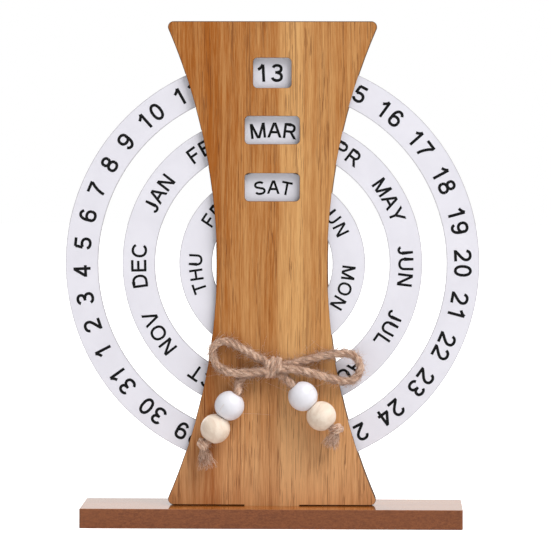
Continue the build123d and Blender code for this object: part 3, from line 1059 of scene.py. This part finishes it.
SIX = oval(0.395, 0.32, 0.265, 0.255) + stroke(curve(0.40, 0.50, 0.27, 0.44, 38, 210))
P_BOWL = bowl(0.178, 0.54, 0.70, 0.25, 0.23)
LETTERS = {
    "0": (0.777, oval(0.389, 0.5, 0.259, 0.44)),
    "1": (0.777, stem(0.459) + stroke([(0.45, 1.0), (0.36, 0.86), (0.25, 0.77), (0.155, 0.72)])),
    "2": (0.777, bar(0.07, 0.045, 0.70) + stroke(
        curve(0.375, 0.69, 0.262, 0.243, 175, -30),
        [(0.53, 0.46), (0.40, 0.34), (0.27, 0.235), (0.16, 0.13), (0.10, 0.07)])),
    "3": (0.777, stroke(curve(0.37, 0.74, 0.24, 0.20, 165, -85))
          + stroke(curve(0.37, 0.285, 0.27, 0.225, 85, -168)) + bar(0.53, 0.27, 0.40)),
    "4": (0.777, stem(0.514) + bar(0.30, 0.03, 0.71) + stroke([(0.085, 0.30), (0.50, 0.95)])),
    "5": (0.777, bar(0.93, 0.17, 0.67) + slant(0.13, 0.19, 0.50, 0.93)
          + stroke(curve(0.37, 0.315, 0.275, 0.245, 138, -165))),
    "6": (0.777, SIX),
    "7": (0.777, bar(0.93, 0.06, 0.70)
          + stroke([(0.66, 0.89), (0.50, 0.68), (0.37, 0.42), (0.29, 0.18), (0.27, 0)])),
    "8": (0.777, oval(0.385, 0.745, 0.215, 0.20) + oval(0.385, 0.285, 0.265, 0.23)),
    "9": (0.777, turned(SIX, 0.389, 0.5)),
    "A": (0.932, slant(0.077, 0.447) + slant(0.855, 0.485) + bar(0.36, 0.20, 0.73)),
    "B": (0.932, stem(0.17) + bowl(0.17, 0.49, 0.735, 0.20, 0.195)
          + bowl(0.17, 0.53, 0.305, 0.235, 0.235)),
    "C": (1.009, stroke(curve(0.53, 0.5, 0.39, 0.44, 35, 325))),
    "D": (1.009, stem(0.178) + bowl(0.178, 0.50, 0.5, 0.365, 0.43)),
    "E": (0.932, stem(0.178) + bar(0.93, 0.18, 0.87) + bar(0.53, 0.18, 0.81)
          + bar(0.07, 0.18, 0.87)),
    "F": (0.853, stem(0.18) + bar(0.93, 0.18, 0.80) + bar(0.50, 0.18, 0.70)),
    "G": (1.087, stroke(curve(0.545, 0.5, 0.40, 0.44, 42, 318), (0.90, 0.16))
          + stem(0.90, 0.16, 0.50) + bar(0.44, 0.58, 0.90)),
    "H": (1.009, stem(0.178) + stem(0.831) + bar(0.54, 0.178, 0.831)),
    "I": (0.388, stem(0.194)),
    "J": (0.698, stroke([(0.50, 1.0), (0.50, 0.28)], curve(0.30, 0.28, 0.20, 0.215, 0, -165))),
    "L": (0.777, stem(0.165) + bar(0.07, 0.165, 0.73)),
    "M": (1.164, stem(0.165) + stem(1.0) + slant(0.565, 0.175) + slant(0.60, 0.99)),
    "N": (1.009, stem(0.168) + stem(0.83) + slant(0.81, 0.19)),
    "O": (1.087, oval(0.543, 0.5, 0.405, 0.44)),
    "P": (0.932, stem(0.178) + P_BOWL),
    "R": (1.009, stem(0.178) + P_BOWL + slant(0.90, 0.56, 0, 0.47)),
    "S": (0.932, stroke(curve(0.465, 0.735, 0.30, 0.195, 20, 255),
                        curve(0.475, 0.275, 0.32, 0.205, 75, -170))),
    "T": (0.853, stem(0.427) + bar(0.93, 0.03, 0.82)),
    "U": (1.009, stroke([(0.175, 1.0), (0.175, 0.38)],
                        curve(0.505, 0.38, 0.33, 0.31, 180, 360), (0.835, 1.0))),
    "V": (0.932, slant(0.447, 0.077) + slant(0.485, 0.855)),
    "W": (1.319, slant(0.345, 0.085) + slant(0.385, 0.64) + slant(0.935, 0.68)
          + slant(0.975, 1.235)),
    "Y": (0.932, slant(0.466, 0.08, 0.42, 1) + slant(0.466, 0.852, 0.42, 1) + stem(0.466, 0, 0.45)),
}


def signed_area(polygon):
    """Half the sum of x of one corner times y of the next, less the other way round."""
    after = np.roll(polygon, -1, axis=0)
    return (polygon[:, 0] * after[:, 1] - polygon[:, 1] * after[:, 0]).sum() / 2


def letter_solid(polygons):
    """The union of the polygons as a shape with a front, a back and walls between: points
    (across, up, depth 0 or 1) and triangles and quads."""
    polygons = [p if signed_area(p) > 0 else p[::-1] for p in polygons]
    points = [Vector(p) for p in np.concatenate(polygons)]
    starts = np.cumsum([0] + [len(p) for p in polygons[:-1]])
    outlines = [list(range(start, start + len(p))) for start, p in zip(starts.tolist(), polygons)]
    flat, _, faces, _, _, sources = delaunay_2d_cdt(points, [], outlines, 0, 1e-5, True)
    flat = np.array([tuple(p) for p in flat])
    front = np.array([face for face, source in zip(faces, sources) if source])
    edges = np.concatenate([front[:, [0, 1]], front[:, [1, 2]], front[:, [2, 0]]])
    keys, reverse = edges @ (len(flat), 1), edges[:, ::-1] @ (len(flat), 1)
    rim = edges[~np.isin(keys, reverse)]
    count = len(flat)
    walls = np.stack([rim[:, 1], rim[:, 0], rim[:, 0] + count, rim[:, 1] + count], axis=1)
    solid = np.concatenate([np.c_[flat, np.zeros(count)], np.c_[flat, np.ones(count)]])
    return solid, front.tolist() + (front[:, ::-1] + count).tolist() + walls.tolist()


SOLIDS = {letter: letter_solid(polygons) for letter, (_, polygons) in LETTERS.items()}
print("letters:", len(SOLIDS), "faces:", sum(len(faces) for _, faces in SOLIDS.values()))

# %% [markdown]
# ## Labels round the rings
#
# A label reads clockwise with its tops outwards. Letters stay rigid and stand square to
# their own spoke, so on a small ring they fan out a little, as printed ones do. Around the
# ring each label takes its letters' widths plus a fixed gap. What that leaves of the full
# turn goes in one gap: the dates fill their ring, the months leave a wider gap before
# January, and the weekdays need more than a turn, so the gap after Tuesday, behind the
# upright at rest, is narrower.

# %% Labels
INK_OUT = 0.06 * MM
INK_IN = 0.03 * MM
MONTHS = "JAN FEB MAR APR MAY JUN JUL AUG SEP OCT NOV DEC".split()
WEEKDAYS = "SAT SUN MON TUE WED THU FRI".split()
DATES = [str(day) for day in range(1, 32)]


def label_angles(labels, unit_deg, gap_deg, shown, shown_deg, tight=None):
    """The middle of each letter as an angle, running clockwise from label to label, turned
    so that the shown label's middle is at shown_deg. A letter one unit wide takes unit_deg.
    The leftover goes before the first label, or after the one named tight."""
    widths = [[LETTERS[c][0] * unit_deg for c in label] for label in labels]
    leftover = 360 - sum(map(sum, widths)) - gap_deg * len(labels)
    at, middles, places = 0.0, {}, []
    for label, row in zip(labels, widths):
        middles[label] = at + sum(row) / 2
        for letter, width in zip(label, row):
            places.append((letter, at + width / 2))
            at += width
        at += gap_deg + (leftover if label == tight else 0)
    start = shown_deg + middles[shown]
    print(f"{labels[0]} to {labels[-1]}: {leftover:.1f} degrees left over")
    return [(letter, start - angle) for letter, angle in places]


def print_ring(node, body, places, cap_height):
    """Every letter of a ring as one mesh. A letter's point goes to: the ring's axis
    + (baseline radius + cap height * up) (spoke) + cap height * across (clockwise)."""
    low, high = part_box(node)
    axis = np.array([(low.x + high.x) / 2, (low.z + high.z) / 2])
    middle = MIDDLES[node]
    cap = cap_height * MM
    parts = []
    for letter, degrees in places:
        points, faces = SOLIDS[letter]
        c, s = math.cos(math.radians(degrees)), math.sin(math.radians(degrees))
        spoke, clockwise = np.array([c, s]), np.array([s, -c])
        across = (points[:, 0:1] - LETTERS[letter][0] / 2) * cap
        up = middle + (points[:, 1:2] - 0.5) * cap
        flat = axis + up * spoke + across * clockwise
        depth = low.y - INK_OUT + points[:, 2] * (INK_OUT + INK_IN)
        parts.append((np.stack([flat[:, 0], depth, flat[:, 1]], axis=1), faces))
    return make_piece(f"{node}_print", join(parts), INK, body, smooth=False)


def ink_finish():
    made, tree, shader = material("black ink")
    speck = noise(tree, coordinates(tree), 1400.0)
    black = ((0.003, 0.003, 0.0035), (0.009, 0.009, 0.0095))
    colour = mix(tree, ramp(tree, speck, 0.35, 0.75), *black)
    feed(tree, shader, Base_Color=colour, Roughness=ramp(tree, speck, 0.3, 0.7, 0.6, 0.75),
         Specular_IOR_Level=0.12)
    return made


INK = ink_finish()
date_places = label_angles(DATES, unit_deg=5.83, gap_deg=3.87, shown="13", shown_deg=90.8)
month_places = label_angles(MONTHS, unit_deg=6.78, gap_deg=10.3, shown="MAR", shown_deg=89.6)
weekday_places = label_angles(WEEKDAYS, unit_deg=11.04, gap_deg=21.1, shown="SAT",
                              shown_deg=89.6, tight="TUE")
print_ring("date_ring", "dates", date_places, cap_height=8.7)
print_ring("month_ring", "months", month_places, cap_height=7.6)
print_ring("weekday_ring", "weekdays", weekday_places, cap_height=6.8)

# %% [markdown]
# ## Stage and light
#
# A plain near-white floor and a white surrounding keep the eye on the object. One broad
# soft light stands high on the right in front, so the windows' top and right edges shade
# the rings behind them, and a weaker one fills from behind. The surroundings are much
# dimmer to matt surfaces than to the eye, which keeps those soft shadows visible while the
# background stays white.

# %% Stage and light
MATT_DIMMING = -0.72
FLOOR_HALF_WIDTH = 4.0
FLOOR_GLOW = 0.78
LIGHT_AIM = (0, 0, 0.13)
bpy.context.scene.view_settings.view_transform = "Standard"

world = bpy.data.worlds.new("white room")
world.use_nodes = True
bpy.context.scene.world = world
room = world.node_tree
background = next(n for n in room.nodes if n.type == "BACKGROUND")
ray = room.nodes.new("ShaderNodeLightPath")
strength = maths(room, "MULTIPLY_ADD", ray.outputs["Is Diffuse Ray"], MATT_DIMMING, 1.0)
feed(room, background, Color=(1, 1, 1), Strength=strength)


def floor():
    """A square floor under the object. It glows only to the camera, to stay white."""
    mesh = bpy.data.meshes.new("floor")
    corners = np.array([(-1, -1, 0), (1, -1, 0), (1, 1, 0), (-1, 1, 0)]) * FLOOR_HALF_WIDTH
    mesh.from_pydata(corners.tolist(), [], [(0, 1, 2, 3)])
    made, tree, shader = material("pale floor")
    ray = tree.nodes.new("ShaderNodeLightPath")
    glow = maths(tree, "MULTIPLY", ray.outputs["Is Camera Ray"], FLOOR_GLOW)
    feed(tree, shader, Base_Color=(0.88, 0.88, 0.88), Roughness=0.9, Specular_IOR_Level=0.0,
         Emission_Color=(1, 1, 1), Emission_Strength=glow)
    mesh.materials.append(made)
    show("floor", mesh)


def soft_light(name, place, size, power):
    """A square area light that looks at the middle of the object."""
    data = bpy.data.lights.new(name, "AREA")
    data.size = size
    data.energy = power
    light = show(name, data)
    light.location = place
    way = Vector(LIGHT_AIM) - Vector(place)
    light.rotation_euler = way.to_track_quat("-Z", "Y").to_euler()
    print(f"{name} light: {power} W from {way.length:.1f} m")


floor()
soft_light("key", place=(1.7, -1.7, 3.0), size=2.4, power=136)
soft_light("back fill", place=(-1.6, 2.2, 1.6), size=1.6, power=45)
